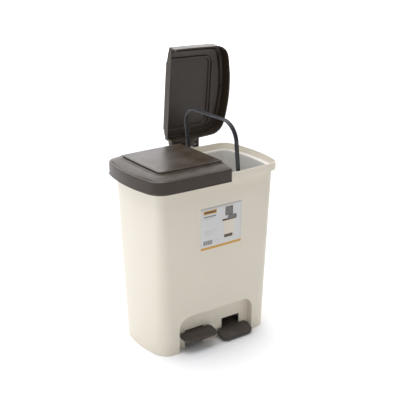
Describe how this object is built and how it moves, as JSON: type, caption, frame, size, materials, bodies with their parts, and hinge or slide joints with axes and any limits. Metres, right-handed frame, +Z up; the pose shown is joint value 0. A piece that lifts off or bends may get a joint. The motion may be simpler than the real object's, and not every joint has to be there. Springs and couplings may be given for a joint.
{
  "type": "pedal trash can",
  "caption": "Tapered twin-compartment waste bin with two pedal-operated hinged lids and lift-out buckets with bail handles.",
  "frame": {"origin": "on the floor, under the middle of the outer bin, on the underside rib", "axes": "+Z up, -Y towards the front with the pedals, +X towards the open lid"},
  "size_m": [0.3798, 0.2901, 0.6794],
  "materials": {
    "bin_plastic": "cream polypropylene, fine satin texture",
    "cover_plastic": "cream polypropylene, satin",
    "bracket_plastic": "dark brown polypropylene, satin",
    "bucket_plastic": "pale grey polypropylene, satin",
    "lid_plastic": "dark brown polypropylene, semi-gloss",
    "pedal_plastic": "dark brown polypropylene, satin",
    "bail_plastic": "dark grey polypropylene, satin",
    "clevis_plastic": "natural acetal",
    "bumper_rubber": "black soft rubber",
    "steel": "zinc plated steel",
    "spring_steel": "spring steel",
    "screw_steel": "zinc plated steel",
    "label_film": "printed paper-look film, no lettering"
  },
  "bodies": {
    "frame": {"outer_bin": "bin_plastic", "hinge_bracket": "bracket_plastic", "hinge_bracket_screws": "screw_steel", "rear_cover": "cover_plastic", "rear_cover_screws": "screw_steel", "pedal_axle": "steel", "axle_caps": "spring_steel", "front_label": "label_film", "inner_bucket_left": "bucket_plastic", "inner_bucket_right": "bucket_plastic"},
    "lid_left": {"lid_left": "lid_plastic", "lid_bumpers_left": "bumper_rubber", "hinge_pin_left": "steel"},
    "lid_right": {"lid_right": "lid_plastic", "lid_bumpers_right": "bumper_rubber", "hinge_pin_right": "steel"},
    "pedal_left": {"pedal_left": "pedal_plastic"},
    "pedal_right": {"pedal_right": "pedal_plastic"},
    "rod_left": {"push_rod_left": "steel", "rod_clevises_left": "clevis_plastic", "clevis_pins_left": "steel"},
    "rod_right": {"push_rod_right": "steel", "rod_clevises_right": "clevis_plastic", "clevis_pins_right": "steel"},
    "bail_left": {"bail_left": "bail_plastic"},
    "bail_right": {"bail_right": "bail_plastic"}
  },
  "joints": [
    {"name": "lid_left_hinge", "type": "hinge", "parent": "frame", "child": "lid_left", "pos_m": [0, 0.143, 0.418], "axis": [-1, 0, 0], "range_deg": [0, 84]},
    {"name": "lid_right_hinge", "type": "hinge", "parent": "frame", "child": "lid_right", "pos_m": [0, 0.143, 0.418], "axis": [-1, 0, 0], "range_deg": [-84, 0]},
    {"name": "pedal_left_pivot", "type": "hinge", "parent": "frame", "child": "pedal_left", "pos_m": [0, 0.035, 0.03], "axis": [1, 0, 0], "range_deg": [0, 10.81]},
    {"name": "pedal_right_pivot", "type": "hinge", "parent": "frame", "child": "pedal_right", "pos_m": [0, 0.035, 0.03], "axis": [1, 0, 0], "range_deg": [-10.81, 0]},
    {"name": "rod_left_slide", "type": "slide", "parent": "frame", "child": "rod_left", "axis": [0, 0, 1], "range_m": [0, 0.01846]},
    {"name": "rod_right_slide", "type": "slide", "parent": "frame", "child": "rod_right", "axis": [0, 0, 1], "range_m": [-0.01846, 0]},
    {"name": "bail_left_pivot", "type": "hinge", "parent": "frame", "child": "bail_left", "pos_m": [-0.0515, 0, 0.4215], "axis": [0, 1, 0], "range_deg": [0, 95]},
    {"name": "bail_right_pivot", "type": "hinge", "parent": "frame", "child": "bail_right", "pos_m": [0.0515, 0, 0.4215], "axis": [0, -1, 0], "range_deg": [-95, 0]}
  ],
  "couplings": [
    {"joint": "pedal_left_pivot", "follows": "lid_left_hinge", "ratio": 0.12873},
    {"joint": "rod_left_slide", "follows": "lid_left_hinge", "m_per_rad": 0.01259},
    {"joint": "bail_left_pivot", "follows": "lid_left_hinge", "ratio": 1.131},
    {"joint": "pedal_right_pivot", "follows": "lid_right_hinge", "ratio": 0.12873},
    {"joint": "rod_right_slide", "follows": "lid_right_hinge", "m_per_rad": 0.01259},
    {"joint": "bail_right_pivot", "follows": "lid_right_hinge", "ratio": 1.131}
  ]
}
